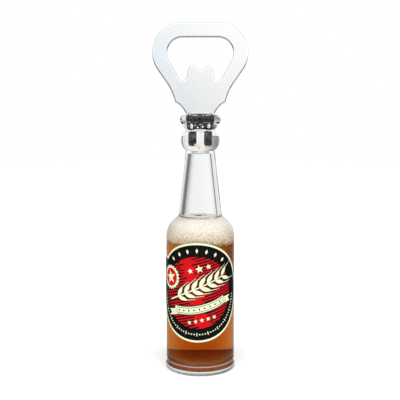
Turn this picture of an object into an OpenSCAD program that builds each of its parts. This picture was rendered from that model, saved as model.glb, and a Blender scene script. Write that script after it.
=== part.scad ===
// Souvenir bottle opener.
// A miniature drinks bottle in thick clear plastic, filled with an amber liquid and its foam, carries a flat
// steel opener plate in its mouth.
// The origin is the middle of the underside. +Z runs up the bottle's axis to the plate, and the plate and the
// label face -Y. All sizes are in millimetres.

/* [Bottle] */
// Outer diameter of the straight body
body_d = 28.3; // [26:0.1:32]
// Height at which the straight body ends and the shoulder begins
body_top = 55; // [52:0.5:61]
// Wall thickness of the body and the shoulder
wall = 2.25; // [1.8:0.05:2.8]
// Radius of the round shoulder
shoulder_r = 9.75; // [9:0.25:10.5]
// Height of the mouth, where the opener plate's shoulders stand
mouth_z = 105.2; // [103:0.2:111]

/* [Neck] */
// Outer radius of the neck where it meets the shoulder
neck_foot_r = 9.05; // [8.6:0.05:9.4]
// Outer radius of the neck below the rings and in the notch between them
neck_top_r = 5.95; // [5.85:0.05:6.4]
// Radius of the neck's bore at the shoulder
bore_foot_r = 7; // [6.4:0.1:7.2]
// Radius of the neck's bore at its top
bore_top_r = 4.1; // [3.6:0.1:4.2]
// Greatest radius of the lower ring
lower_ring_r = 7.95; // [7.5:0.05:8.4]
// Greatest radius of the upper ring
upper_ring_r = 8.4; // [8.1:0.05:9]

/* [Opener plate] */
// Thickness of the steel
plate_t = 1.8; // [1.4:0.1:2.2]
// Greatest width of the plate
plate_w = 39; // [37.2:0.1:42]
// Height of the plate above the mouth
plate_h = 36.8; // [36:0.1:39]
// Width of the cap opening
opening_w = 27; // [25.5:0.1:27.8]
// Width of the bar above the opening
top_bar = 5.9; // [5.4:0.1:7]

/* [Tang] */
// Width of the tang where it enters the neck
tang_w = 8; // [7.6:0.1:8.4]
// Width across the two prongs
prong_span = 6.7; // [6.4:0.1:7.2]
// Width of the gap between the prongs
fork_gap = 2.1; // [1.8:0.1:2.4]
// Depth of the tang below the mouth
tang_depth = 11.8; // [11:0.1:12.4]
// Clearance round the tang that the resin fills
resin_gap = 0.55; // [0.4:0.05:0.6]

/* [Filling] */
// Height of the liquid's surface, where the foam starts
liquid_top = 53.2; // [47:0.2:54]
// Height of the foam's top
foam_top = 61.5; // [57:0.1:62]

/* [Base] */
// Height of the base plug's flange
flange_h = 1.7; // [1.5:0.1:2.4]
// Amount by which the flange stands proud of the body, on the radius
flange_proud = 0.25; // [0.05:0.05:0.4]
// Rounding of the flange's lower edge
flange_round = 1; // [0.4:0.1:1.4]
// Height of the seam of adhesive between the flange and the body
bond_t = 2; // [0.8:0.1:2.2]
// Height of the spigot above the flange, up to the liquid
spigot_h = 3.3; // [2.6:0.1:3.8]
// Radius of the filler hole
filler_r = 1.6; // [1.2:0.1:2]

/* [Label] */
// Radius of the label's disc, measured along the curved surface
label_r = 20; // [16:0.25:20.25]
// Height of the disc's centre
label_z = 34; // [28:0.5:34]
// Turn of the label about the bottle, towards -X
label_turn = 5.5; // [0:0.5:12]
// Thickness of the printed film
label_t = 0.2; // [0.1:0.05:0.3]

/* [Hidden] */

ROUND_FN = 96;         // facets of the preview; every round face is a true circle in the solid
CUT = 1;               // how far a cutting shape runs past the face that it opens
BITE = 0.02;           // how far an arc runs into the line or arc that it blends with
body_r = body_d / 2;
body_bore_r = body_r - wall;
shell_foot = flange_h + bond_t;
foot_bevel = 0.35;     // bevel of the shell's foot
floor_z = flange_h + spigot_h;

// The shoulder is an arc about this point, outside and in
shoulder_c = [body_r - shoulder_r, body_top];
inner_shoulder_r = shoulder_r - wall;
neck_foot_drop = 1.5;  // drop from the top of the shoulder's arc to the neck's foot
neck_foot = [neck_foot_r, body_top + shoulder_r - neck_foot_drop];
foot_fillet = 1.2;     // hollow corner between the neck and the shoulder

// The two rings of the mouth
upper_ring_h = 6.4;
notch_z = mouth_z - upper_ring_h;
lower_ring_h = 8.3;
neck_top = [neck_top_r, notch_z - lower_ring_h];
upper_ring_round = 2.2;

// The neck's bore ends, with a rounded corner, under the web that carries the tang's slot
slot_spare = 0.4;      // depth of the resin under the prongs
slot_bottom = mouth_z - tang_depth - slot_spare;
web = 3;               // solid plastic between the slot and the bore
bore_end = slot_bottom - web;
bore_round = 1.4;

// The plate's outline, measured from the mouth
corner_r = 12.1;
corner_c = [plate_w / 2 - corner_r, plate_h - corner_r];
side_lean = 35;        // lean of the plate's outer sides from the vertical
waist_r = 22.5;        // hollow of the outer sides
waist_z = 12.7;        // height at which the hollow begins
heel_w = 11.55;        // width of the plate on the mouth
heel_r = 9.8;          // hollow of the corner cut above the mouth
heel_z = 4.9;          // height of that corner
opening_r = 6.4;       // corners of the cap opening
opening_lean = 30;     // lean of the opening's sides
pocket_z = 13.6;       // lowest point of the pockets beside the tooth
tooth_w = 10.7;
lobe_r = 1.22;
lobe_x = 3.24;
tooth_h = 6.05;        // tooth height above the pockets
valley_depth = 2.15;
valley_r = 0.8;
flank_foot_h = 1.65;   // height of the foot of the tooth's flank above the pockets
flank_h = 2.1;         // height of the flank's straight part
flank_lean_in = 0.1;   // lean of that part towards the middle
tang_step = 6.1;       // depth of the tang's full-width part

// The filler stopper has a head in a recess under the base
filler_head_lap = 0.9;
filler_head_r = filler_r + filler_head_lap;
filler_recess = 0.4;
filler_head_h = 0.9;

// The label's ear
ear_r = 7.1;
ear_offset = [-17.5, 6.4];
label_columns = 96;

// Point where a line from the point p touches the circle (c, r); side is 1 or -1
function touch_point(p, c, r, side) =
    let (d = p - c, turn = atan2(d.y, d.x) + side * acos(r / norm(d)))
    c + r * [cos(turn), sin(turn)];

// Point at the distance r from c in the direction of the angle a
function polar(c, r, a) = c + r * [cos(a), sin(a)];

module mirrored() {
    children();
    mirror([1, 0]) children();
}

module disc(c, r) {
    translate(c) circle(r = r, $fn = ROUND_FN);
}

// The half plane from the axis outwards and from the height z upwards
module outward_of_axis(z) {
    translate([0, z]) square([body_r + CUT, mouth_z]);
}

// ---- bottle -------------------------------------------------------------------------------------

// The lower ring's outline is an arc that bulges past the neck
module lower_ring() {
    half = lower_ring_h / 2;
    rise = lower_ring_r - neck_top_r;
    arc_r = (half * half + rise * rise) / (2 * rise);
    intersection() {
        disc([lower_ring_r - arc_r, neck_top.y + half], arc_r + BITE);
        outward_of_axis(neck_top.y - half);
    }
}

// The lip has a round upper edge and a straight underside that runs down to the notch
module lip() {
    c = [upper_ring_r - upper_ring_round, mouth_z - upper_ring_round];
    notch = [neck_top_r, notch_z];
    disc(c, upper_ring_round);
    polygon([[0, notch_z], notch, touch_point(notch, c, upper_ring_round, 1), c,
             [c.x, mouth_z], [0, mouth_z]]);
}

// The hollow corner between the neck and the shoulder: what a rolling circle leaves
module neck_foot_fillet() {
    along = (neck_top - neck_foot) / norm(neck_top - neck_foot);
    out = [along.y, -along.x];
    start = neck_foot + foot_fillet * out - shoulder_c;
    reach = shoulder_r + foot_fillet;
    b = start * along;
    t = -b + sqrt(b * b - start * start + reach * reach);
    c = start + shoulder_c + t * along;
    on_neck = c - foot_fillet * out;
    on_shoulder = c + foot_fillet * (shoulder_c - c) / reach;
    difference() {
        polygon([on_shoulder, c, on_neck, [neck_foot.x / 2, on_shoulder.y - CUT]]);
        disc(c, foot_fillet);
    }
}

module bottle_outline() {
    polygon([[0, shell_foot], [body_r - foot_bevel, shell_foot], [body_r, shell_foot + foot_bevel],
             [body_r, body_top], [0, body_top]]);
    intersection() {
        disc(shoulder_c, shoulder_r);
        outward_of_axis(body_top);
    }
    down_neck = (neck_foot - neck_top) / (neck_top.y - neck_foot.y);
    polygon([[0, body_top], neck_foot + down_neck * shoulder_r / 2, neck_top,
             [neck_top_r, notch_z + CUT], [0, notch_z + CUT]]);
    neck_foot_fillet();
    lower_ring();
    lip();
}

// The hollow of the bottle: body, shoulder, and the neck's tapering bore with its rounded end
module hollow_outline() {
    translate([0, shell_foot - CUT]) square([body_bore_r, body_top - shell_foot + CUT]);
    intersection() {
        disc(shoulder_c, inner_shoulder_r);
        outward_of_axis(body_top);
    }
    bore_foot = body_top + inner_shoulder_r;
    corner = [bore_top_r - bore_round, bore_end - bore_round];
    polygon([[0, body_top], [bore_foot_r, body_top], [bore_foot_r, bore_foot],
             corner + [bore_round - BITE, 0], corner, [corner.x, bore_end], [0, bore_end]]);
    disc(corner, bore_round);
}

// The slot in the top of the neck, where the tang stands in its resin
module tang_slot_outline() {
    end_r = plate_t / 2 + resin_gap;
    straight = tang_w / 2 + resin_gap - end_r;
    square([2 * straight, 2 * end_r], center = true);
    for (x = [-straight, straight]) {
        disc([x, 0], end_r);
    }
}

module tang_slot(extra) {
    translate([0, 0, slot_bottom])
        linear_extrude(mouth_z - slot_bottom + extra) tang_slot_outline();
}

module bottle_shell() {
    color([0.90, 0.93, 0.93, 0.35])
        difference() {
            rotate_extrude($fn = ROUND_FN)
                difference() {
                    bottle_outline();
                    hollow_outline();
                }
            tang_slot(CUT);
        }
}

// ---- filling ------------------------------------------------------------------------------------

// What fills the bottle's hollow between two heights
module filling(bottom, top) {
    rotate_extrude($fn = ROUND_FN)
        intersection() {
            hollow_outline();
            translate([0, bottom]) square([body_r, top - bottom]);
        }
}

module liquid_fill() {
    color([0.63, 0.23, 0.04, 0.85]) filling(floor_z, liquid_top);
}

module foam_head() {
    color([0.93, 0.87, 0.79]) filling(liquid_top, foam_top);
}

// ---- base ---------------------------------------------------------------------------------------

module base_plug() {
    flange_r = body_r + flange_proud;
    color([0.88, 0.90, 0.90, 0.45])
        difference() {
            rotate_extrude($fn = ROUND_FN) {
                // Only the lower half of the rounding, as the flange may be thinner than the whole disc
                intersection() {
                    disc([flange_r - flange_round, flange_round], flange_round);
                    square([flange_r + CUT, flange_round]);
                }
                square([flange_r - flange_round, flange_h]);
                translate([0, flange_round]) square([flange_r, flange_h - flange_round]);
                square([body_bore_r, floor_z]);
            }
            translate([0, 0, -CUT]) cylinder(r = filler_r, h = floor_z + 2 * CUT, $fn = ROUND_FN);
            translate([0, 0, -CUT])
                cylinder(r = filler_head_r, h = filler_recess + filler_head_h + CUT, $fn = ROUND_FN);
        }
}

module base_bond() {
    color([0.45, 0.18, 0.07, 0.9])
        translate([0, 0, flange_h])
            difference() {
                cylinder(r = body_r - foot_bevel, h = bond_t, $fn = ROUND_FN);
                translate([0, 0, -CUT]) cylinder(r = body_bore_r, h = bond_t + 2 * CUT, $fn = ROUND_FN);
            }
}

module filler_plug() {
    color([0.90, 0.91, 0.90, 0.45]) {
        translate([0, 0, filler_recess]) cylinder(r = filler_head_r, h = filler_head_h, $fn = ROUND_FN);
        translate([0, 0, filler_recess]) cylinder(r = filler_r, h = floor_z - filler_recess, $fn = ROUND_FN);
    }
}

// ---- label --------------------------------------------------------------------------------------

// Half the height of a disc of the radius r at the distance u from its middle, or nothing outside it
function half_height(u, r) = abs(u) < r ? sqrt(r * r - u * u) : 0;

// The film is a disc and its ear, wrapped round the body. Columns crowd towards both ends, where the
// outline turns fastest.
module label_film() {
    left = ear_offset.x - ear_r;
    middle = (left + label_r) / 2;
    reach = (label_r - left) / 2;
    end_turn = 3;
    turns = [for (i = [0 : label_columns]) 180 - end_turn - i * (180 - 2 * end_turn) / label_columns];
    along = [for (t = turns) middle + reach * cos(t)];
    disc_half = [for (u = along) half_height(u, label_r)];
    ear_half = [for (u = along) half_height(u - ear_offset.x, ear_r)];
    tops = [for (i = [0 : label_columns])
        max(disc_half[i] > 0 ? disc_half[i] : -label_r,
            ear_half[i] > 0 ? ear_offset.y + ear_half[i] : -label_r)];
    bottoms = [for (i = [0 : label_columns])
        min(disc_half[i] > 0 ? -disc_half[i] : label_r,
            ear_half[i] > 0 ? ear_offset.y - ear_half[i] : label_r)];
    function film_point(i, r, z) =
        let (a = along[i] / body_r * 180 / PI - label_turn)
        [r * sin(a), -r * cos(a), label_z + z];
    points = [for (i = [0 : label_columns]) each [
        film_point(i, body_r, bottoms[i]),
        film_point(i, body_r, tops[i]),
        film_point(i, body_r + label_t, tops[i]),
        film_point(i, body_r + label_t, bottoms[i])]];
    sides = [for (i = [0 : label_columns - 1], k = [0 : 3])
        let (a = 4 * i + k, b = 4 * i + (k + 1) % 4)
        each [[a, b + 4, b], [a, a + 4, b + 4]]];
    last = 4 * label_columns;
    polyhedron(points, concat(sides, [[0, 1, 2, 3], [last + 3, last + 2, last + 1, last]]));
}

module bottle_label() {
    color([0.80, 0.06, 0.08]) label_film();
}

// ---- opener plate -------------------------------------------------------------------------------

// The outside of the plate above the mouth. Its sides run straight from the round corners and then
// hollow in to the heel that stands on the mouth.
module plate_outline() {
    side_top = polar(corner_c, corner_r, -side_lean);
    waist_top = [side_top.x - (side_top.y - waist_z) * tan(side_lean), waist_z];
    waist_c = polar(waist_top, waist_r, -side_lean);
    heel_corner = [waist_c.x - half_height(waist_c.y - heel_z, waist_r), heel_z];
    heel_foot = [heel_w / 2, 0];
    chord = heel_corner - heel_foot;
    to_centre = [chord.y, -chord.x] / norm(chord);
    heel_c = (heel_corner + heel_foot) / 2 + half_height(norm(chord) / 2, heel_r) * to_centre;
    difference() {
        mirrored() {
            disc(corner_c, corner_r);
            polygon([[0, 0], [waist_top.x, 0], waist_top, side_top, corner_c, [corner_c.x, plate_h],
                     [0, plate_h]]);
        }
        mirrored() {
            disc(waist_c, waist_r + BITE);
            disc(heel_c, heel_r);
        }
    }
}

// The tooth that catches the cap: two round lobes with a valley between them
module tooth_outline() {
    foot_z = pocket_z + flank_foot_h;
    lobe_c = [lobe_x, pocket_z + tooth_h - lobe_r];
    flank_foot = [tooth_w / 2, foot_z];
    flank_top = [tooth_w / 2 - flank_lean_in, foot_z + flank_h];
    valley_c = [0, pocket_z + tooth_h - valley_depth + valley_r];
    // The valley's side touches its own round bottom and the lobe on opposite sides
    apart = norm(lobe_c - valley_c);
    cross_turn = atan2(lobe_c.y - valley_c.y, lobe_c.x - valley_c.x) - acos((valley_r + lobe_r) / apart);
    valley_touch = polar(valley_c, valley_r, cross_turn);
    lobe_touch = polar(lobe_c, lobe_r, cross_turn + 180);
    difference() {
        mirrored() {
            polygon([[0, pocket_z], [tooth_w / 2, pocket_z], flank_foot, flank_top,
                     touch_point(flank_top, lobe_c, lobe_r, 1), lobe_c, lobe_touch, valley_touch,
                     [0, valley_c.y - valley_r]]);
            disc(lobe_c, lobe_r);
        }
        disc(valley_c, valley_r);
    }
}

// The opening that goes over a crown cap
module cap_opening_outline() {
    top = plate_h - top_bar;
    corner = [opening_w / 2 - opening_r, top - opening_r];
    side_top = polar(corner, opening_r, -opening_lean);
    // The pocket's round end touches the tooth's flank, the opening's side and its own lowest height
    side_out = [cos(opening_lean), -sin(opening_lean)];
    flank = [tooth_w / 2, pocket_z];
    spare = (side_top - flank) * side_out;
    pocket_r = spare / (1 + side_out.x + side_out.y);
    pocket_c = flank + [pocket_r, pocket_r];
    difference() {
        mirrored() {
            disc(corner, opening_r);
            disc(pocket_c, pocket_r + BITE);
            polygon([[0, pocket_c.y], [flank.x, pocket_c.y], pocket_c, pocket_c + pocket_r * side_out,
                     side_top, corner, [corner.x, top], [0, top]]);
        }
        tooth_outline();
    }
}

// The tang below the mouth: a full-width part and two prongs
module tang_outline() {
    translate([-tang_w / 2, -tang_step]) square([tang_w, tang_step]);
    difference() {
        translate([-prong_span / 2, -tang_depth]) square([prong_span, tang_depth]);
        translate([-fork_gap / 2, -tang_depth - CUT])
            square([fork_gap, tang_depth - tang_step + CUT]);
    }
}

module plate_solid(thickness) {
    translate([0, thickness / 2, mouth_z])
        rotate([90, 0, 0])
            linear_extrude(thickness) children();
}

module opener_plate() {
    color([0.86, 0.88, 0.90])
        plate_solid(plate_t) {
            difference() {
                plate_outline();
                cap_opening_outline();
            }
            tang_outline();
        }
}

module tang_resin() {
    color([0.92, 0.93, 0.90, 0.35])
        difference() {
            tang_slot(0);
            plate_solid(plate_t) tang_outline();
        }
}

opener_plate();
tang_resin();
bottle_shell();
liquid_fill();
foam_head();
base_plug();
base_bond();
filler_plug();
bottle_label();
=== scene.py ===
"""Looks of the souvenir bottle opener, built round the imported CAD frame. Lengths are in metres."""
import math
import random

import bmesh
import bpy
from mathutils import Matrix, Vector, noise
from mathutils.geometry import tessellate_polygon


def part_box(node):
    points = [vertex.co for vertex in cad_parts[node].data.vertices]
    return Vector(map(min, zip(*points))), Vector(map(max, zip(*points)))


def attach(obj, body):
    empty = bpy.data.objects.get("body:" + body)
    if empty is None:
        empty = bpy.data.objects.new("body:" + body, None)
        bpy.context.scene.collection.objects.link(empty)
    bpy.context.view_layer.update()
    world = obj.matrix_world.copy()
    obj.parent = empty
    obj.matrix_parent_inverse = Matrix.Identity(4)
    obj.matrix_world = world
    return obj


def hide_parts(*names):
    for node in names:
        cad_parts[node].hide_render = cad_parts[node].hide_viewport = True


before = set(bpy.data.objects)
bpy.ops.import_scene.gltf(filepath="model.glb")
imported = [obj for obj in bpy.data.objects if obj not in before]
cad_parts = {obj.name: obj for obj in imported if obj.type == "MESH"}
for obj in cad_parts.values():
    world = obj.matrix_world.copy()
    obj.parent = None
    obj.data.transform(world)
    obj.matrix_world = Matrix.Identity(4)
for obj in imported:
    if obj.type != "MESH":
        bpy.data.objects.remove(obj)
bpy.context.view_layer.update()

MM = 0.001
rng = random.Random(7)

# ---- measures from the frame --------------------------------------------------------------------

shell_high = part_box("bottle_shell")[1]
liquid_low, liquid_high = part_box("liquid_fill")
foam_low, foam_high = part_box("foam_head")
plug_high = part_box("base_plug")[1]
bond_low, bond_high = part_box("base_bond")
stopper_low, stopper_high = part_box("filler_plug")
plate_low, plate_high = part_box("opener_plate")
resin_low, resin_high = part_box("tang_resin")
label_low, label_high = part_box("bottle_label")

body_r = shell_high.x
bore_r = liquid_high.x
mouth_z = shell_high.z
wall_t = body_r - bore_r
film_t = -label_low.y - body_r

stopper_r = stopper_high.x
stem_r = 0.64 * stopper_r
recess_top = stopper_low.z + 0.9 * MM

FRINGE_BUBBLES = 520
DROPS = 150
FROTH_BUBBLES = 120
KNOT_BUBBLES = 12
GLINTS_PER_SIDE = 14

LAP = 0.05 * MM        # how far one clear piece reaches into the next, so that no gap of air shows
ROUND = 160            # segments round the axis


def profile_of(node):
    """The outline points (radius, height) of a CAD node that is round, from its foot to its top."""
    points = {(round(math.hypot(v.co.x, v.co.y), 6), round(v.co.z, 6))
              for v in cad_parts[node].data.vertices}
    return sorted(points, key=lambda p: (p[1], -p[0]))


# ---- making meshes ------------------------------------------------------------------------------

def finish_mesh(mesh, name, material, node=None, smooth_angle=35):
    """Turns a bmesh into a piece of the object that rides on the root body."""
    bmesh.ops.recalc_face_normals(mesh, faces=mesh.faces)
    # A folded outline can leave the whole body facing inwards
    if mesh.calc_volume(signed=True) < 0:
        bmesh.ops.reverse_faces(mesh, faces=mesh.faces)
    data = bpy.data.meshes.new(name)
    mesh.to_mesh(data)
    mesh.free()
    data.materials.append(material)
    data.shade_smooth()
    data.set_sharp_from_angle(angle=math.radians(smooth_angle))
    piece = bpy.data.objects.new(name, data)
    bpy.context.scene.collection.objects.link(piece)
    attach(piece, "root")
    if node:
        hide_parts(node)
    return piece


def lathe(outline, segments=ROUND, wobble=None):
    """A closed body of revolution. The outline runs from the axis to the axis, as (radius, height).
    wobble takes the place of a vertex and gives its new place."""
    mesh = bmesh.new()
    rings = []
    for radius, height in outline:
        if radius < 1e-7:
            rings.append([mesh.verts.new((0, 0, height))])
            continue
        ring = []
        for i in range(segments):
            turn = 2 * math.pi * i / segments
            ring.append(mesh.verts.new((radius * math.cos(turn), radius * math.sin(turn), height)))
        rings.append(ring)
    for low, high in zip(rings, rings[1:]):
        for i in range(segments):
            j = (i + 1) % segments
            corners = [low[i % len(low)], low[j % len(low)], high[j % len(high)], high[i % len(high)]]
            mesh.faces.new(list(dict.fromkeys(corners)))
    if wobble:
        for v in mesh.verts:
            v.co = wobble(v.co)
    return mesh


def ring_lathe(outline, segments=ROUND):
    """A closed ring of revolution. The outline is a closed loop clear of the axis."""
    mesh = bmesh.new()
    rings = [[mesh.verts.new((r * math.cos(2 * math.pi * i / segments),
                              r * math.sin(2 * math.pi * i / segments), z))
              for i in range(segments)] for r, z in outline]
    for low, high in zip(rings, rings[1:] + rings[:1]):
        for i in range(segments):
            j = (i + 1) % segments
            mesh.faces.new([low[i], low[j], high[j], high[i]])
    return mesh


def arc(centre, radius, start, end, steps):
    """Points of an arc in the (radius, height) plane, with angles in degrees."""
    points = []
    for i in range(steps + 1):
        turn = math.radians(start + (end - start) * i / steps)
        points.append((centre[0] + radius * math.cos(turn), centre[1] + radius * math.sin(turn)))
    return points


def beads(mesh, places, subdivisions=2):
    """Adds small spheres, each given as (centre, radii)."""
    for centre, radii in places:
        made = bmesh.ops.create_icosphere(mesh, subdivisions=subdivisions, radius=1.0)["verts"]
        for v in made:
            v.co = Vector((v.co.x * radii[0], v.co.y * radii[1], v.co.z * radii[2])) + centre


# ---- materials ----------------------------------------------------------------------------------

class Paint:
    """A node material with one Principled shader, and short ways to add texture nodes to it."""

    def __init__(self, name, **values):
        self.material = bpy.data.materials.new(name)
        self.material.use_nodes = True
        self.tree = self.material.node_tree
        self.shader = self.tree.nodes["Principled BSDF"]
        for socket, value in values.items():
            self.shader.inputs[socket.replace("_", " ")].default_value = value
        coordinates = self.add("ShaderNodeTexCoord")
        self.place = coordinates.outputs["Object"]
        self.normal = coordinates.outputs["Normal"]

    def add(self, kind, inputs=None, **settings):
        """Adds a node. An input is a value, or a socket to link from."""
        node = self.tree.nodes.new(kind)
        for name, value in settings.items():
            setattr(node, name, value)
        for key, value in (inputs or {}).items():
            if isinstance(value, bpy.types.NodeSocket):
                self.tree.links.new(value, node.inputs[key])
            else:
                node.inputs[key].default_value = value
        return node

    def stretched(self, scale):
        """The object's coordinates, scaled along each axis."""
        return self.add("ShaderNodeMapping", {"Vector": self.place, "Scale": scale}).outputs[0]

    def noise(self, size, detail=3.0, stretch=(1, 1, 1)):
        """A noise between 0 and 1 with features of a size in metres."""
        place = self.stretched(tuple(s / size for s in stretch))
        return self.add("ShaderNodeTexNoise", {"Vector": place, "Scale": 1.0, "Detail": detail}).outputs[0]

    def cells(self, size):
        """The distance to the middle of the nearest cell, with cells of a size in metres."""
        place = self.stretched((1 / size,) * 3)
        return self.add("ShaderNodeTexVoronoi", {"Vector": place, "Scale": 1.0}).outputs["Distance"]

    def ramp(self, value, low, high, start=0.0, end=1.0):
        """Maps value from [start, end] to [low, high], which are numbers."""
        return self.add("ShaderNodeMapRange", {"Value": value, "From Min": start, "From Max": end,
                                               "To Min": low, "To Max": high}).outputs[0]

    def blend(self, factor, first, second):
        """A colour between first and second."""
        node = self.add("ShaderNodeMix", {0: factor, 6: first, 7: second}, data_type="RGBA")
        return node.outputs[2]

    def axis(self, name):
        """One of the object's coordinates, X, Y or Z."""
        return self.add("ShaderNodeSeparateXYZ", {"Vector": self.place}).outputs[name]

    def from_axis(self):
        """The distance from the bottle's axis."""
        flat = self.stretched((1, 1, 0))
        return self.add("ShaderNodeVectorMath", {0: flat}, operation="LENGTH").outputs["Value"]

    def times(self, first, second):
        return self.add("ShaderNodeMath", {0: first, 1: second}, operation="MULTIPLY").outputs[0]

    def link(self, socket, value):
        self.tree.links.new(value, self.shader.inputs[socket])

    def bump(self, height, depth, strength=1.0, normal=None):
        """Gives the shader a bump of a depth in metres. Bumps stack through normal."""
        inputs = {"Height": height, "Distance": depth, "Strength": strength}
        if normal:
            inputs["Normal"] = normal
        made = self.add("ShaderNodeBump", inputs).outputs[0]
        self.link("Normal", made)
        return made

    def absorb(self, colour, density):
        """Fills the piece with a clear substance that takes light away."""
        volume = self.add("ShaderNodeVolumeAbsorption", {"Color": colour, "Density": density})
        output = self.tree.nodes["Material Output"]
        self.tree.links.new(volume.outputs[0], output.inputs["Volume"])


def colour(r, g, b):
    return (r, g, b, 1.0)


FAINT_GLOSS = colour(0.40, 0.40, 0.40)
# A filling reflects next to nothing where it wets the plastic
INNER_GLOSS = colour(0.05, 0.05, 0.05)


def steel_paint():
    """Bright plated steel with a fine satin lay. Below the mouth, where the resin was cast round it, the
    steel is painted near black as painted shade, with brownish mottled patches further down."""
    p = Paint("bright_steel", Metallic=1.0)
    lay = p.noise(0.25 * MM, 2.0, (1.0, 1.0, 0.06))
    cloud = p.noise(9 * MM, 2.0)
    # plated is 0 below the mouth, where the steel is given painted shade.
    plated = p.ramp(p.axis("Z"), 0.0, 1.0, mouth_z - 0.25 * MM, mouth_z + 0.05 * MM)
    # Painted reflection: the plate's -X side is tinted a cool blue-grey, fading to neutral towards +X.
    across = p.ramp(p.axis("X"), 0.0, 1.0, plate_low.x, 0.3 * plate_high.x)
    bluish_reflection = p.blend(cloud, colour(0.58, 0.63, 0.67), colour(0.62, 0.66, 0.68))
    neutral = p.blend(cloud, colour(0.68, 0.68, 0.68), colour(0.72, 0.72, 0.72))
    face = p.blend(across, bluish_reflection, neutral)
    facing = p.add("ShaderNodeSeparateXYZ", {"Vector": p.normal}).outputs["Y"]
    squareness = p.add("ShaderNodeMath", {0: facing}, operation="ABSOLUTE").outputs[0]
    # Painted light on the bevels: where a face turns away from the front, its colour is a painted highlight
    # if it faces sideways or down, and painted shade if it faces up.
    painted_edge_mask = p.ramp(squareness, 1.0, 0.0, 0.75, 0.95)
    upward_shade = p.ramp(p.add("ShaderNodeSeparateXYZ", {"Vector": p.normal}).outputs["Z"], 0.0, 1.0, 0.1, 0.3)
    edge = p.blend(upward_shade, colour(0.80, 0.80, 0.81), colour(0.24, 0.24, 0.25))
    bright = p.blend(painted_edge_mask, face, edge)
    # Painted shade below the mouth: near black, with brownish mottled patches from about 3 mm down.
    patches_in_shade = p.times(p.ramp(p.noise(1.1 * MM), 0.0, 1.0, 0.5, 0.75),
                   p.ramp(p.axis("Z"), 1.0, 0.0, mouth_z - 3.2 * MM, mouth_z - 2.8 * MM))
    dark = p.blend(patches_in_shade, colour(0.004, 0.004, 0.005), colour(0.12, 0.10, 0.085))
    p.link("Base Color", p.blend(plated, dark, bright))
    p.link("Roughness", p.ramp(lay, 0.22, 0.30))
    p.bump(lay, 0.0004 * MM, normal=p.bump(p.noise(0.08 * MM, 1.0), 0.0006 * MM))
    return p.material


def clear_paint(name, tint, density=6.0):
    """Clear acrylic with the faint ripple of a moulding and a few hazy rubbed patches. Its inner walls
    lose their gloss where the liquid and the foam wet them."""
    p = Paint(name, Base_Color=colour(1, 1, 1), Transmission_Weight=1.0, IOR=1.49)
    inner_wall = p.ramp(p.from_axis(), 1.0, 0.0, bore_r + 0.4 * wall_t, bore_r + 0.6 * wall_t)
    filled = p.ramp(p.axis("Z"), 1.0, 0.0, foam_high.z, foam_high.z + 0.1 * MM)
    p.link("Specular Tint", p.blend(p.times(inner_wall, filled), FAINT_GLOSS, INNER_GLOSS))
    p.link("Roughness", p.ramp(p.noise(2.5 * MM), 0.0, 0.03, 0.5, 0.8))
    p.bump(p.noise(4 * MM, 1.0), 0.006 * MM)
    p.absorb(tint, density)
    return p.material


def ground_paint():
    """The ground underside of the base. It is nearly invisible from inside, as the light of the floor under
    it comes straight through. A dark ring round its edge is painted shade."""
    p = Paint("ground_acrylic", Transmission_Weight=1.0, IOR=1.02, Roughness=0.3)
    # Painted shade: a dark ring round the edge of the underside draws the base's outline.
    rim = p.ramp(p.from_axis(), 0.0, 1.0, plug_high.x - 1.6 * MM, plug_high.x - 1.2 * MM)
    middle = p.blend(p.noise(3 * MM), colour(0.84, 0.83, 0.82), colour(0.74, 0.73, 0.71))
    p.link("Base Color", p.blend(rim, middle, colour(0.20, 0.18, 0.17)))
    p.bump(p.noise(0.3 * MM), 0.02 * MM)
    return p.material


def stained_and_shaded_paint():
    """The adhesive round the spigot, stained the colour of the liquid, with painted light and shade: its
    upward faces are painted a lit pale orange, its sides a shaded dark brown.
    """
    p = Paint("stained_and_shaded_adhesive", IOR=1.45, Roughness=0.3)
    patch = p.ramp(p.noise(1.6 * MM), 0.0, 1.0, 0.35, 0.65)
    # Painted shade: the sides are a shaded dark brown. Painted light: the upward faces are a lit pale orange.
    side = p.blend(patch, colour(0.30, 0.085, 0.015), colour(0.20, 0.05, 0.010))
    top = p.blend(patch, colour(0.95, 0.62, 0.28), colour(0.80, 0.46, 0.20))
    up = p.add("ShaderNodeSeparateXYZ", {"Vector": p.normal}).outputs["Z"]
    p.link("Base Color", p.blend(p.ramp(up, 0.0, 1.0, 0.4, 0.8), side, top))
    p.bump(p.noise(0.5 * MM), 0.03 * MM)
    return p.material


def liquid_paint():
    p = Paint("amber_liquid", Base_Color=colour(1, 1, 1), Transmission_Weight=1.0, IOR=1.34, Roughness=0.0,
              Specular_Tint=INNER_GLOSS)
    p.bump(p.noise(6 * MM, 0.0), 0.002 * MM)
    p.absorb(colour(0.86, 0.57, 0.0), 270.0)
    return p.material


def foam_paint(name, top, foot, pits):
    """Fine foam, lighter towards its top, pitted with small dark bubbles towards its foot."""
    p = Paint(name, Roughness=0.6, Specular_IOR_Level=0.2)
    height = p.ramp(p.axis("Z"), 0.0, 1.0, foam_low.z, foam_low.z + 0.75 * (foam_high.z - foam_low.z))
    fine = p.cells(0.55 * MM)
    pit = p.ramp(p.cells(0.62 * MM), 1.0, 0.0, 0.26, 0.46)
    patch = p.ramp(p.noise(2.2 * MM), 0.55, 1.0, 0.34, 0.48)
    near_foot = p.ramp(height, 1.0, 0.2)
    speckle = p.times(p.times(pit, patch), near_foot)
    p.link("Base Color", p.blend(speckle, p.blend(height, foot, top), pits))
    normal = p.bump(fine, -0.10 * MM, 0.7)
    p.bump(p.cells(1.1 * MM), -0.12 * MM, 0.5, normal)
    return p.material


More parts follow.
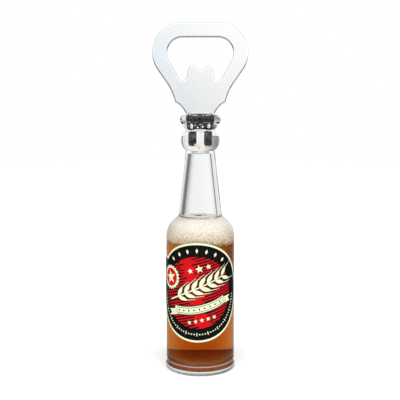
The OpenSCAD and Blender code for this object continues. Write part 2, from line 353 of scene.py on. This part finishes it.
def resin_paint():
    p = Paint("clear_resin", Base_Color=colour(1, 1, 1), Transmission_Weight=1.0, IOR=1.50,
              Specular_Tint=INNER_GLOSS)
    p.link("Roughness", p.ramp(p.noise(0.8 * MM), 0.0, 0.05, 0.4, 0.7))
    p.bump(p.noise(1.5 * MM), 0.02 * MM)
    p.absorb(colour(0.9, 0.88, 0.8), 20.0)
    return p.material


def droplet_paint(name, ior):
    p = Paint(name, Base_Color=colour(1, 1, 1), Transmission_Weight=1.0, IOR=ior, Roughness=0.0)
    p.bump(p.noise(0.5 * MM, 0.0), 0.002 * MM)
    return p.material


def froth_paint():
    """Trapped froth in the resin: milky, with a warm tint here and there."""
    p = Paint("resin_froth_and_glints", Transmission_Weight=0.2, IOR=1.3, Roughness=0.25)
    warm = p.ramp(p.axis("Z"), 1.0, 0.0, mouth_z - 12.0 * MM, mouth_z - 10.8 * MM)
    patch = p.ramp(p.noise(1.4 * MM), 0.0, 0.25, 0.5, 0.7)
    p.link("Base Color", p.blend(p.add("ShaderNodeMath", {0: warm, 1: patch}, operation="MAXIMUM").outputs[0],
                                 colour(0.97, 0.97, 0.96), colour(0.95, 0.76, 0.58)))
    p.bump(p.noise(0.3 * MM), 0.05 * MM)
    return p.material


def ink_paint(name, light, dark, gloss):
    """Screen print: a fine mottle in the colour and a slight orange peel in the gloss."""
    p = Paint(name, Specular_IOR_Level=0.12)
    p.link("Base Color", p.blend(p.ramp(p.noise(0.35 * MM), 0.0, 1.0, 0.35, 0.65), light, dark))
    p.link("Roughness", p.ramp(p.noise(0.2 * MM), gloss - 0.06, gloss + 0.06))
    p.bump(p.noise(0.5 * MM), 0.003 * MM)
    return p.material


def bond_paint():
    """Adhesive that the liquid has stained, pale along its upper edge."""
    p = Paint("stained_bond", IOR=1.49, Roughness=0.25, Specular_IOR_Level=0.3)
    edge = p.ramp(p.axis("Z"), 0.0, 1.0, bond_high.z - 0.40 * MM, bond_high.z - 0.25 * MM)
    patch = p.ramp(p.noise(0.9 * MM), 0.0, 1.0, 0.35, 0.65)
    brown = p.blend(patch, colour(0.26, 0.075, 0.020), colour(0.18, 0.045, 0.010))
    foot = p.ramp(p.axis("Z"), 1.0, 0.0, bond_low.z + 0.25 * MM, bond_low.z + 0.40 * MM)
    darker = p.blend(foot, brown, colour(0.05, 0.02, 0.01))
    p.link("Base Color", p.blend(edge, darker, colour(0.80, 0.60, 0.54)))
    p.link("Transmission Weight", p.ramp(edge, 0.3, 0.5))
    p.bump(p.noise(0.4 * MM), 0.01 * MM)
    return p.material


def floor_paint():
    p = Paint("studio_floor", Roughness=0.7, Specular_IOR_Level=0.2)
    p.link("Base Color", p.blend(p.noise(40 * MM), colour(0.93, 0.93, 0.93), colour(0.95, 0.95, 0.95)))
    return p.material


CLEAR = clear_paint("clear_acrylic", colour(0.80, 0.88, 0.86))
STAINED_AND_SHADED = stained_and_shaded_paint()
GROUND = ground_paint()
CREAM_INK = ink_paint("cream_ink", colour(0.60, 0.64, 0.43), colour(0.54, 0.59, 0.39), 0.30)
BLACK_INK = ink_paint("black_ink", colour(0.002, 0.002, 0.002), colour(0.005, 0.004, 0.005), 0.28)
RED_INK = ink_paint("red_ink", colour(0.46, 0.0015, 0.004), colour(0.40, 0.001, 0.003), 0.28)

# ---- opener plate -------------------------------------------------------------------------------

def opener_plate():
    """The CAD's plate, with the round edges of a tumbled stamping."""
    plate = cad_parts["opener_plate"]
    plate.data.materials[0] = steel_paint()
    weld = plate.modifiers.new("weld", "WELD")
    weld.merge_threshold = 0.002 * MM
    flat = plate.modifiers.new("flat", "DECIMATE")
    flat.decimate_type = "DISSOLVE"
    flat.angle_limit = math.radians(0.4)
    edge = plate.modifiers.new("edge", "BEVEL")
    edge.width = 0.5 * MM
    edge.segments = 4
    edge.limit_method = "ANGLE"
    edge.angle_limit = math.radians(50)
    edge.use_clamp_overlap = False


# ---- bottle, resin and base ---------------------------------------------------------------------

def bottle_shell():
    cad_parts["bottle_shell"].data.materials[0] = CLEAR


def tang_resin():
    """The resin fills the slot round the tang and sinks a little below the mouth."""
    mesh = bmesh.new()
    half_w = resin_high.x + LAP
    half_t = resin_high.y + LAP
    straight = half_w - half_t
    loop = []
    for side in (1, -1):
        for i in range(17):
            turn = math.pi * (i / 16 - 0.5)
            loop.append((side * (straight + half_t * math.cos(turn)), side * half_t * math.sin(turn)))
    low = [mesh.verts.new((x, y, resin_low.z - LAP)) for x, y in loop]
    high = [mesh.verts.new((x, y, resin_high.z - 0.15 * MM)) for x, y in loop]
    mesh.faces.new(low)
    mesh.faces.new(high)
    for i in range(len(loop)):
        j = (i + 1) % len(loop)
        mesh.faces.new([low[i], low[j], high[j], high[i]])
    finish_mesh(mesh, "tang_potting_resin", resin_paint(), "tang_resin")


def coat_base(piece, above):
    """Grinds the underside of a base piece, and stains what lies above a height, with painted light and
    shade: the faces that the liquid or the seam's adhesive covers."""
    piece.data.materials.append(STAINED_AND_SHADED)
    piece.data.materials.append(GROUND)
    for face in piece.data.polygons:
        reach = math.hypot(face.center.x, face.center.y)
        if face.center.z > above and (face.normal.z > 0.9 or reach > 0.9 * bore_r):
            face.material_index = 1
        elif face.normal.z < -0.9 and face.center.z < 0.2 * MM:
            face.material_index = 2


def clear_base():
    """The clear disc that closes the bottle, with its spigot and the filler hole."""
    flange_r = plug_high.x
    flange_top = bond_low.z + LAP
    round_r = 1 * MM
    outline = [(stopper_r - LAP, 0.0)]
    outline += arc((flange_r - round_r, round_r), round_r, -90, 0, 8)
    outline += arc((flange_r - 0.2 * MM, flange_top - 0.2 * MM), 0.2 * MM, 0, 90, 4)
    outline += [(bore_r + LAP, flange_top), (bore_r + LAP, plug_high.z)]
    outline += [(stem_r - LAP, plug_high.z), (stem_r - LAP, recess_top), (stopper_r - LAP, recess_top)]
    disc = finish_mesh(ring_lathe(outline), "clear_base_disc", CLEAR, "base_plug")
    coat_base(disc, flange_top + LAP)


def filler_stopper():
    """The stopper in the filler hole, with a drop of adhesive that fills its recess."""
    top = stopper_high.z
    outline = [(0, 0.05 * MM), (0.8 * stopper_r, 0.05 * MM), (stopper_r, 0.12 * MM), (stopper_r, recess_top),
               (stem_r, recess_top), (stem_r, top), (0, top)]
    stopper = finish_mesh(lathe(outline), "filler_stopper", CLEAR, "filler_plug")
    coat_base(stopper, top - LAP)


def bond_seam():
    """The seam of adhesive stands a little back from the body, with a small bead squeezed out along each
    of its edges."""
    bead = 0.16 * MM
    seam_r = bond_high.x
    low, high = bond_low.z, bond_high.z
    outline = [(bore_r - LAP, low - LAP), (seam_r, low - LAP)]
    outline += arc((seam_r, low + bead), bead, -90, 90, 6)
    outline += arc((seam_r, high - bead), bead, -90, 90, 6)
    outline += [(seam_r, high + LAP), (bore_r - LAP, high + LAP)]
    finish_mesh(ring_lathe(outline), "bond_seam", bond_paint(), "base_bond")


# ---- filling ------------------------------------------------------------------------------------

def amber_liquid():
    wall = bore_r + LAP
    low, high = liquid_low.z - LAP, liquid_high.z
    steps = 12
    sides = [(wall, low + (high - low) * i / steps) for i in range(steps + 1)]
    outline = [(0, low)] + sides + [(0, high)]
    finish_mesh(lathe(outline), "amber_liquid", liquid_paint(), "liquid_fill")


def points_over_foam():
    """The two lowest points of the shell's outline over the foam, as (radius, height). They are neighbours on
    the shoulder, and not the two ends of the neck's bore."""
    inner = [p for p in profile_of("bottle_shell")
             if foam_high.z < p[1] < resin_low.z and p[0] < 0.55 * body_r]
    return inner[0], inner[1]


def foam_head():
    """The foam fills the shoulder. A thin shelf reaches in from the wall over its uneven top, and leaves a
    hole in the middle. Its foot is a rough fringe of bubbles that cling to the wall."""
    top_white = colour(0.92, 0.88, 0.79)
    foot_tan = colour(0.86, 0.68, 0.48)
    foam = foam_paint("cream_foam", top_white, foot_tan, colour(0.30, 0.17, 0.08))
    wall = [(r + LAP, z) for r, z in profile_of("foam_head") if r > 0.3 * bore_r]
    lower, upper = points_over_foam()
    creep = 2.2 * MM
    lean = (lower[0] - upper[0]) / (upper[1] - lower[1])
    wall.append((lower[0] + LAP, lower[1]))
    wall.append((lower[0] + LAP - lean * creep, lower[1] + creep))
    wall.append((lower[0] - 0.5 * MM, lower[1] + 0.8 * creep))
    wall.append((0.85 * lower[0], foam_high.z + 0.2 * MM))
    top_r = wall[-1][0]
    rings = 8
    top = [(top_r * (1 - i / rings), foam_high.z) for i in range(1, rings + 1)]

    foot = foam_low.z - 0.3 * MM

    def uneven(place):
        """Ruffles the top and the foot."""
        if place.z > foam_high.z - LAP and math.hypot(place.x, place.y) < top_r - LAP:
            return place - Vector((0, 0, 0.5 * MM * (1 + noise.noise(place / (1.6 * MM)))))
        if place.z > foam_low.z + LAP:
            return place
        return place - Vector((0, 0, 0.6 * MM * noise.noise(place / (3.5 * MM))))

    underside = [(bore_r * (i / 6), foot) for i in range(6)] + [(0.985 * bore_r, foot)]
    finish_mesh(lathe(underside + wall + top, wobble=uneven), "foam_head_cream", foam, "foam_head")

    fringe = bmesh.new()
    places = []
    for _ in range(FRINGE_BUBBLES):
        size = rng.uniform(0.18, 0.50) * MM
        turn = rng.uniform(0, 2 * math.pi)
        drop = abs(rng.gauss(0, 0.5)) * MM
        radius = bore_r + LAP - 0.6 * size
        edge = uneven(Vector((radius * math.cos(turn), radius * math.sin(turn), foam_low.z)))
        places.append((edge - Vector((0, 0, drop)), (size, size, 0.85 * size)))
    beads(fringe, places)
    foot_foam = foam_paint("foot_foam", foot_tan, colour(0.72, 0.50, 0.30), colour(0.30, 0.14, 0.05))
    finish_mesh(fringe, "foam_fringe", foot_foam)


# ---- bubbles and drops in the neck --------------------------------------------------------------

def neck_drops():
    """Drops in a narrow ring at the foot of the neck."""
    foot, top = points_over_foam()
    drops = bmesh.new()
    places = []
    for _ in range(DROPS):
        up = 1 - rng.random() ** 1.6 * 0.8
        size = rng.uniform(0.16, 0.40) * MM
        turn = math.pi + rng.gauss(0.3, 0.9)
        radius = foot[0] + (top[0] - foot[0]) * up
        height = foot[1] + (top[1] - foot[1]) * up
        centre = Vector((radius * math.cos(turn), radius * math.sin(turn), height))
        places.append((centre, (0.7 * size, 0.7 * size, 1.2 * size)))
    beads(drops, places)
    finish_mesh(drops, "neck_drops", droplet_paint("water_drop", 1.33))


def resin_bubbles():
    """Air that was caught in the resin: froth under the tang's step and in the fork, and single voids
    beside and above it."""
    front = -(resin_high.y + LAP)
    froth = bmesh.new()
    places = []
    # A ragged band across the prongs, under the notch between the rings
    for _ in range(FROTH_BUBBLES):
        x = rng.uniform(-1, 1) * (resin_high.x - 0.5 * MM)
        middle = max(0, 1 - abs(x) / (0.35 * resin_high.x))
        height = mouth_z - (8.0 + abs(rng.gauss(0, 0.08 + 0.5 * middle))) * MM
        size = rng.uniform(0.10, 0.26) * MM
        tall = rng.uniform(0.8, 1.3 + 1.2 * middle)
        places.append((Vector((x, front, height)), (size, 0.18 * MM, tall * size)))
    # A warm knot of bubbles at the foot of the fork
    for _ in range(KNOT_BUBBLES):
        offset = Vector((rng.gauss(-0.7, 0.4), 0, rng.gauss(0, 0.25))) * MM
        size = rng.uniform(0.2, 0.42) * MM
        places.append((Vector((0, front, mouth_z - 12.0 * MM)) + offset, (size, 0.22 * MM, 1.2 * size)))
    # Two rows of painted glints just under the mouth: thin flat beads of the milky froth, standing in for
    # sparkles of light
    for side in (-1, 1):
        for _ in range(GLINTS_PER_SIDE):
            x = side * rng.uniform(0.7, 3.5) * MM
            height = mouth_z - (2.18 + 0.02 * rng.gauss(0, 1)) * MM
            size = rng.uniform(0.03, 0.05) * MM
            places.append((Vector((x, front, height)), (8 * size, 0.12 * MM, size)))
    # Single voids: a long one in each corner of the broad part, and small ones between them. Their milky
    # froth colour is a painted stand-in for the light that air pockets mirror
    for x, depth, radii in ((-2.75, 4.0, (0.50, 0.2, 1.25)), (2.75, 3.9, (0.50, 0.2, 1.15)),
                            (-0.8, 4.5, (0.26, 0.2, 0.5)), (0.7, 4.2, (0.34, 0.2, 0.6)),
                            (-1.6, 3.5, (0.22, 0.2, 0.3)), (0.1, 3.1, (0.5, 0.2, 0.22))):
        places.append((Vector((x * MM, front, mouth_z - depth * MM)), tuple(r * MM for r in radii)))
    beads(froth, places)
    finish_mesh(froth, "resin_froth_and_glints", froth_paint())


# ---- label --------------------------------------------------------------------------------------

label_z = (label_low.z + label_high.z) / 2
label_r = (label_high.z - label_low.z) / 2
LABEL_TURN = math.radians(5.5)  # towards -X, the same as in the CAD
COLUMN = 0.35 * MM      # the films bend with the body in columns of this width
# The ear has the CAD's proportions to the disc
EAR_R = 0.355 * label_r
EAR = (-0.875 * label_r, 0.32 * label_r)
RIM = 0.78 * MM         # width of the cream rim outside the black
RED_R = 0.722 * label_r
INK_STEP = 0.008 * MM   # height of each layer of ink over the one below


def circle(centre, radius, steps=96, start=0.0, end=360.0):
    """Points of a circle or of an arc, on the flat label."""
    count = steps if end - start >= 360 else steps + 1
    return [(centre[0] + radius * math.cos(math.radians(start + (end - start) * i / steps)),
             centre[1] + radius * math.sin(math.radians(start + (end - start) * i / steps)))
            for i in range(count)]


def badge(inset):
    """The label's outline, a disc with an ear, set in by a margin."""
    disc_r, ear_r = label_r - inset, EAR_R - inset
    apart = math.hypot(*EAR)
    toward = math.degrees(math.atan2(EAR[1], EAR[0]))
    on_disc = math.degrees(math.acos((apart ** 2 + disc_r ** 2 - ear_r ** 2) / (2 * apart * disc_r)))
    on_ear = math.degrees(math.acos((apart ** 2 + ear_r ** 2 - disc_r ** 2) / (2 * apart * ear_r)))
    disc = circle((0, 0), disc_r, 128, toward + on_disc - 360, toward - on_disc)
    ear = circle(EAR, ear_r, 48, toward - 180 + on_ear, toward + 180 - on_ear)
    return disc + ear[1:-1]


def wrapped(loops_per_shape, top, bottom):
    """A thin film on the bottle: flat shapes, each a list of closed loops, bent round the body between two
    heights over its surface."""
    mesh = bmesh.new()
    for loops in loops_per_shape:
        points = [Vector((u, v, top)) for loop in loops for u, v in loop]
        corners = [mesh.verts.new(p) for p in points]
        for triangle in tessellate_polygon([[Vector((u, v, 0)) for u, v in loop] for loop in loops]):
            mesh.faces.new([corners[i] for i in triangle])
    left = min(v.co.x for v in mesh.verts)
    right = max(v.co.x for v in mesh.verts)
    for i in range(math.ceil(left / COLUMN), math.ceil(right / COLUMN)):
        everything = mesh.verts[:] + mesh.edges[:] + mesh.faces[:]
        cut = bmesh.ops.bisect_plane(mesh, geom=everything, dist=1e-8, plane_co=(i * COLUMN, 0, 0),
                                     plane_no=(1, 0, 0))["geom_cut"]
        for part in cut:
            if isinstance(part, bmesh.types.BMEdge):
                part.seam = True
    # Between two cuts, the triangles merge again
    bmesh.ops.dissolve_limit(mesh, angle_limit=0.001, verts=mesh.verts[:], edges=mesh.edges[:],
                             delimit={"SEAM"})
    sunk = bmesh.ops.extrude_face_region(mesh, geom=mesh.faces[:])["geom"]
    for v in sunk:
        if isinstance(v, bmesh.types.BMVert):
            v.co.z = bottom
    for v in mesh.verts:
        u, height, over = v.co
        turn = u / body_r - LABEL_TURN
        radius = body_r + over
        v.co = (radius * math.sin(turn), -radius * math.cos(turn), label_z + height)
    return mesh


def print_layer(name, shapes, level, ink):
    """Ink on the film, one of a stack of thin layers."""
    mesh = wrapped(shapes, film_t + level * INK_STEP, 0.5 * film_t)
    finish_mesh(mesh, name, ink)


def turned(points, centre, degrees=0.0, scale=1.0):
    """Points scaled and turned about the origin, then moved to a centre."""
    c, s = math.cos(math.radians(degrees)), math.sin(math.radians(degrees))
    return [(centre[0] + scale * (c * x - s * y), centre[1] + scale * (s * x + c * y)) for x, y in points]


def polar(radius, degrees):
    return (radius * math.cos(math.radians(degrees)), radius * math.sin(math.radians(degrees)))


def star(points=5, waist=0.42):
    """A star of radius 1 with one point up."""
    step = 180 / points
    return [polar(waist if i % 2 else 1.0, 90 + i * step) for i in range(2 * points)]


def leaf(length, width, steps=8):
    """A pointed grain along u, from the origin."""
    upper = [(length * i / steps, width / 2 * math.sin(math.pi * (i / steps) ** 0.8))
             for i in range(steps + 1)]
    lower = [(u, -v) for u, v in reversed(upper[1:-1])]
    return upper + lower


def bar(start, end, width, taper=1.0):
    """A straight bar between two points, with its width at the end tapered."""
    du, dv = end[0] - start[0], end[1] - start[1]
    length = math.hypot(du, dv)
    side = (-dv / length * width / 2, du / length * width / 2)
    return [(start[0] + side[0], start[1] + side[1]), (start[0] - side[0], start[1] - side[1]),
            (end[0] - taper * side[0], end[1] - taper * side[1]),
            (end[0] + taper * side[0], end[1] + taper * side[1])]


def band(middle, widths):
    """A strip along a line of points, with a width at each point."""
    left, right = [], []
    for i, (u, v) in enumerate(middle):
        before, after = middle[max(i - 1, 0)], middle[min(i + 1, len(middle) - 1)]
        du, dv = after[0] - before[0], after[1] - before[1]
        length = math.hypot(du, dv)
        offset = (-dv / length * widths[i] / 2, du / length * widths[i] / 2)
        left.append((u + offset[0], v + offset[1]))
        right.append((u - offset[0], v - offset[1]))
    return left + right[::-1]


def barley(foot, degrees, length, pairs, grow):
    """An ear of barley: a stalk, pairs of grains and an awn from each grain. grow makes every shape fatter,
    for the outline behind it."""
    shapes = []
    tip = (foot[0] + polar(length, degrees)[0], foot[1] + polar(length, degrees)[1])
    shapes.append(bar(foot, tip, 0.6 * MM + 2 * grow, 0.7))
    for i in range(pairs):
        along = length * (0.16 + 0.80 * i / (pairs - 1))
        at = (foot[0] + polar(along, degrees)[0], foot[1] + polar(along, degrees)[1])
        size = 1.0 - 0.25 * abs(i / (pairs - 1) - 0.4)
        for side in (-1, 1):
            lean = degrees + side * 37
            start = (at[0] + polar(0.45 * MM - grow, lean)[0], at[1] + polar(0.45 * MM - grow, lean)[1])
            grain = leaf(size * 5.0 * MM + 2 * grow, size * 1.75 * MM + 2 * grow)
            shapes.append(turned(grain, start, lean))
            end = (at[0] + polar(size * 5.2 * MM, lean)[0], at[1] + polar(size * 5.2 * MM, lean)[1])
            awn = polar(3.6 * MM, degrees + side * 16)
            shapes.append(bar(end, (end[0] + awn[0], end[1] + awn[1]), 0.30 * MM + grow, 0.3))
    return shapes


def stripe_field():
    """Slanting stripes across the red disc that leave its middle free."""
    lean = 15
    pitch, width = 1.12 * MM, 0.56 * MM
    shapes = []
    count = int(RED_R / pitch)
    for i in range(-count, count + 1):
        off = i * pitch
        reach = math.sqrt(max(RED_R ** 2 - off ** 2, 0)) + 0.25 * MM
        wave = 0.9 * MM * math.sin(2.4 * i)
        for start, end in ((-reach, -0.22 * RED_R + wave), (0.12 * RED_R + wave, reach)):
            if end - start < pitch:
                continue
            ends = [(s * math.cos(math.radians(lean)) - off * math.sin(math.radians(lean)),
                     s * math.sin(math.radians(lean)) + off * math.cos(math.radians(lean)))
                    for s in (start, end)]
            shapes.append(bar(ends[0], ends[1], width))
    return shapes


def crown_cap(centre, radius, teeth=21):
    """A crown cap seen from above: its fluted outline."""
    steps = 6 * teeth
    outline = []
    for i in range(steps):
        flute = 1 + 0.07 * math.cos(2 * math.pi * teeth * i / steps)
        outline.append(polar(radius * flute, 360 * i / steps))
    return turned(outline, centre)


def ribbon_line(steps=20):
    """The middle line of the ribbon, which rises to the right and sags."""
    spots = [2 * i / steps - 1 for i in range(steps + 1)]
    return [((1.0 + 10.6 * t) * MM, (-6.6 + 2.2 * t + 1.5 * t * t) * MM) for t in spots]


def ribbon(grow):
    """A ribbon that sags under the barley, with forked ends."""
    middle = ribbon_line()
    body = band(middle, [3.1 * MM + 2 * grow] * len(middle))
    tails = []
    for side, (u, v) in ((-1, middle[0]), (1, middle[-1])):
        tilt = 0.9 * MM * side + 0.5 * MM
        tails.append([(u - side * 1.2 * MM, v + 0.6 * MM + grow),
                      (u + side * (3.4 * MM + grow), v + tilt + grow),
                      (u + side * (2.2 * MM + grow), v + tilt - 1.3 * MM),
                      (u + side * (3.4 * MM + grow), v + tilt - 2.6 * MM - grow),
                      (u - side * 1.2 * MM, v - 2.0 * MM - grow)])
    return [body] + tails


def label():
    film = wrapped([[badge(0.0)]], film_t, -0.02 * MM)
    finish_mesh(film, "label_film", CREAM_INK, "bottle_label")
    print_layer("label_black", [[badge(RIM)]], 1, BLACK_INK)
    print_layer("label_red", [[circle((0, 0), RED_R)]], 2, RED_INK)

    ear_at = (-12.0 * MM, -3.6 * MM)
    ear = {"foot": ear_at, "degrees": 24, "length": 25 * MM, "pairs": 7}
    cap_at, cap_r = (-12.4 * MM, 5.4 * MM), 4.7 * MM
    shade = 0.42 * MM
    dark = stripe_field() + barley(grow=shade, **ear) + ribbon(shade)
    dark.append(crown_cap(cap_at, cap_r + shade))
    print_layer("label_shadow", [[shape] for shape in dark], 3, BLACK_INK)

    light = barley(grow=0.0, **ear) + ribbon(0.0)
    light.append(crown_cap(cap_at, cap_r))
    # The ring round the red: lozenges at the top, and dots and ticks along the foot
    ring_r = (RED_R + label_r - RIM) / 2
    lozenge = [(0, 1), (-0.55, 0), (0, -1), (0.55, 0)]
    for i in range(-3, 4):
        at = 90 + 13 * i
        light.append(turned(lozenge, polar(ring_r, at), at - 90, 1.0 * MM))
    tick = [(-0.28, 1), (-0.28, -1), (0.28, -1), (0.28, 1)]
    for i in range(-22, 23):
        at = 270 + 3.8 * i
        if i % 4:
            light.append(circle(polar(ring_r, at), 0.30 * MM, 10))
        else:
            light.append(turned(tick, polar(ring_r, at), at - 90, 0.65 * MM))
    for i in (-1, 0, 1):
        at = ((1.0 + 3.6 * i) * MM, (9.6 + 0.9 * i) * MM)
        light.append(turned(star(), at, 15, (1.7 if i == 0 else 1.2) * MM))
    for i in (-2, -1, 0, 1, 2):
        at = ((2.0 + 2.5 * i) * MM, (-11.0 + 0.55 * i) * MM)
        light.append(turned(star(), at, 12, 0.95 * MM))
    print_layer("label_cream", [[shape] for shape in light], 4, CREAM_INK)

    # Dark marks on the ribbon: a fine line along each edge and lozenges between them
    marks = []
    for side in (-1, 1):
        line = [(u, v + side * 1.05 * MM) for u, v in ribbon_line()[1:-1]]
        marks.append(band(line, [0.22 * MM] * len(line)))
    for i, (u, v) in enumerate(ribbon_line()[2:-2:2]):
        marks.append(turned(lozenge, (u, v), 100 if i % 2 else 10, 0.62 * MM))
    print_layer("label_ribbon_marks", [[shape] for shape in marks], 5, BLACK_INK)

    inner = [circle(cap_at, 0.78 * cap_r, 48)]
    print_layer("label_cap_red", [[shape] for shape in inner], 5, RED_INK)
    badge_star = turned(star(), cap_at, 10, 0.62 * cap_r)
    print_layer("label_cap_star", [[badge_star]], 6, CREAM_INK)


# ---- studio -------------------------------------------------------------------------------------

# Brightness of the light from each side, as (angle in degrees, brightness). The angle runs from behind the
# bottle at 0 to its +X side at 90. Two dark screens draw the edges of the clear plastic, and a lamp stands
# in front on the +X side.
ROUND_LIGHT = [(-180, 1.4), (-150, 1.5), (-100, 1.6), (-88, 0.6), (-76, 0.14), (-36, 0.18), (-22, 0.55),
               (-8, 0.86), (14, 0.93), (30, 0.86), (50, 0.80), (56, 0.10), (68, 0.10), (80, 0.6), (100, 1.6),
               (136, 1.6), (141, 2.2), (153, 2.2), (158, 1.6), (180, 1.4)]
OVERHEAD_FRONT = 4.4    # brightness from above, on the front and at the back
OVERHEAD_BACK = 0.5
THROUGH_BELOW = 0.95    # brightness from below, for light that passes through the clear pieces
MIRRORED_BELOW = 0.05   # and for light that they mirror, just under the horizon and far under it
MIRRORED_DEEP = 0.6
FLOOR_RADIUS = 4.0


def studio():
    """A wide pale floor, and light from all round with dark screens at the sides. From above it is bright in
    front and dim at the back.
    """
    disc = bmesh.new()
    bmesh.ops.create_circle(disc, cap_ends=True, segments=96, radius=FLOOR_RADIUS)
    data = bpy.data.meshes.new("studio_floor")
    disc.to_mesh(data)
    disc.free()
    data.materials.append(floor_paint())
    floor = bpy.data.objects.new("studio_floor", data)
    bpy.context.scene.collection.objects.link(floor)
    # The clear pieces show the even light behind them, not the floor's own shading
    floor.visible_glossy = False
    floor.visible_transmission = False

    world = bpy.data.worlds.new("studio_light")
    bpy.context.scene.world = world
    world.use_nodes = True
    tree = world.node_tree
    background = tree.nodes["Background"]
    background.inputs["Color"].default_value = colour(1, 1, 1)

    def math_node(operation, first, second):
        node = tree.nodes.new("ShaderNodeMath")
        node.operation = operation
        tree.links.new(first, node.inputs[0])
        if isinstance(second, (int, float)):
            node.inputs[1].default_value = second
        else:
            tree.links.new(second, node.inputs[1])
        return node.outputs[0]

    def span(value, start, end):
        """0 at start, 1 at end."""
        node = tree.nodes.new("ShaderNodeMapRange")
        tree.links.new(value, node.inputs["Value"])
        node.inputs["From Min"].default_value = start
        node.inputs["From Max"].default_value = end
        return node.outputs[0]

    split = tree.nodes.new("ShaderNodeSeparateXYZ")
    tree.links.new(tree.nodes.new("ShaderNodeTexCoord").outputs["Generated"], split.inputs[0])
    turn = math_node("ARCTAN2", split.outputs["X"], split.outputs["Y"])
    share = math_node("ADD", math_node("DIVIDE", turn, 2 * math.pi), 0.5)
    ramp = tree.nodes.new("ShaderNodeValToRGB")
    tree.links.new(share, ramp.inputs[0])
    stops = ramp.color_ramp.elements
    brightest = max(level for _, level in ROUND_LIGHT)
    for angle, level in ROUND_LIGHT[1:-1]:
        stops.new(angle / 360 + 0.5)
    for stop, (angle, level) in zip(stops, ROUND_LIGHT):
        stop.position = angle / 360 + 0.5
        shade = level / brightest
        stop.color = colour(shade, shade, shade)
    overhead = span(split.outputs["Z"], 0.35, 0.9)
    sides = math_node("MULTIPLY", ramp.outputs[0], brightest)
    mixed = tree.nodes.new("ShaderNodeMix")
    tree.links.new(overhead, mixed.inputs[0])
    tree.links.new(sides, mixed.inputs[2])
    back = span(split.outputs["Y"], -0.40, -0.05)
    fall = math_node("MULTIPLY", back, OVERHEAD_BACK - OVERHEAD_FRONT)
    tree.links.new(math_node("ADD", fall, OVERHEAD_FRONT), mixed.inputs[3])

    def blend(factor, first, second):
        node = tree.nodes.new("ShaderNodeMix")
        for socket, value in zip(node.inputs[:1] + node.inputs[2:4], (factor, first, second)):
            if isinstance(value, (int, float)):
                socket.default_value = value
            else:
                tree.links.new(value, socket)
        return node.outputs[0]

    # Seen through the plastic, the light is even again under the screens, so the liquid glows to its edges
    through = blend(span(split.outputs["Z"], -0.176, -0.192), mixed.outputs[0], THROUGH_BELOW)
    # Mirrored in the plastic, nothing shines from below, so the clear parts stay deep
    behind = math_node("MULTIPLY", span(split.outputs["Y"], 0.60, 0.95), 0.5)
    low_light = math_node("ADD", behind, MIRRORED_BELOW)
    deep = blend(span(split.outputs["Z"], 0.02, -0.10), mixed.outputs[0], low_light)
    mirrored = blend(span(split.outputs["Z"], -0.36, -0.50), deep, MIRRORED_DEEP)
    path = tree.nodes.new("ShaderNodeLightPath")
    mirror = math_node("SUBTRACT", path.outputs["Is Glossy Ray"], path.outputs["Is Transmission Ray"])
    indirect = blend(mirror, through, mirrored)
    tree.links.new(blend(path.outputs["Is Camera Ray"], indirect, 1.0), background.inputs["Strength"])


def camera():
    """The photograph's point of view: in front, level with the neck, looking slightly down."""
    distance = 265.6 * MM
    height = 91.6 * MM
    aside = -0.12 * MM
    tilt_down = 4.67
    data = bpy.data.cameras.new("camera")
    data.lens = 57.9
    data.sensor_width = 36
    data.clip_start = 0.01
    eye = bpy.data.objects.new("camera", data)
    eye.location = (aside, -distance, height)
    eye.rotation_euler = (math.radians(90 - tilt_down), 0, 0)
    bpy.context.scene.collection.objects.link(eye)
    bpy.context.scene.camera = eye


opener_plate()
bottle_shell()
tang_resin()
clear_base()
bond_seam()
amber_liquid()
foam_head()
neck_drops()
resin_bubbles()
label()
filler_stopper()
studio()
camera()

scene = bpy.context.scene
scene.view_settings.view_transform = "Standard"
scene.cycles.max_bounces = 24
scene.cycles.transmission_bounces = 20
scene.cycles.transparent_max_bounces = 16
scene.cycles.glossy_bounces = 8
scene.cycles.diffuse_bounces = 4
scene.cycles.use_denoising = True
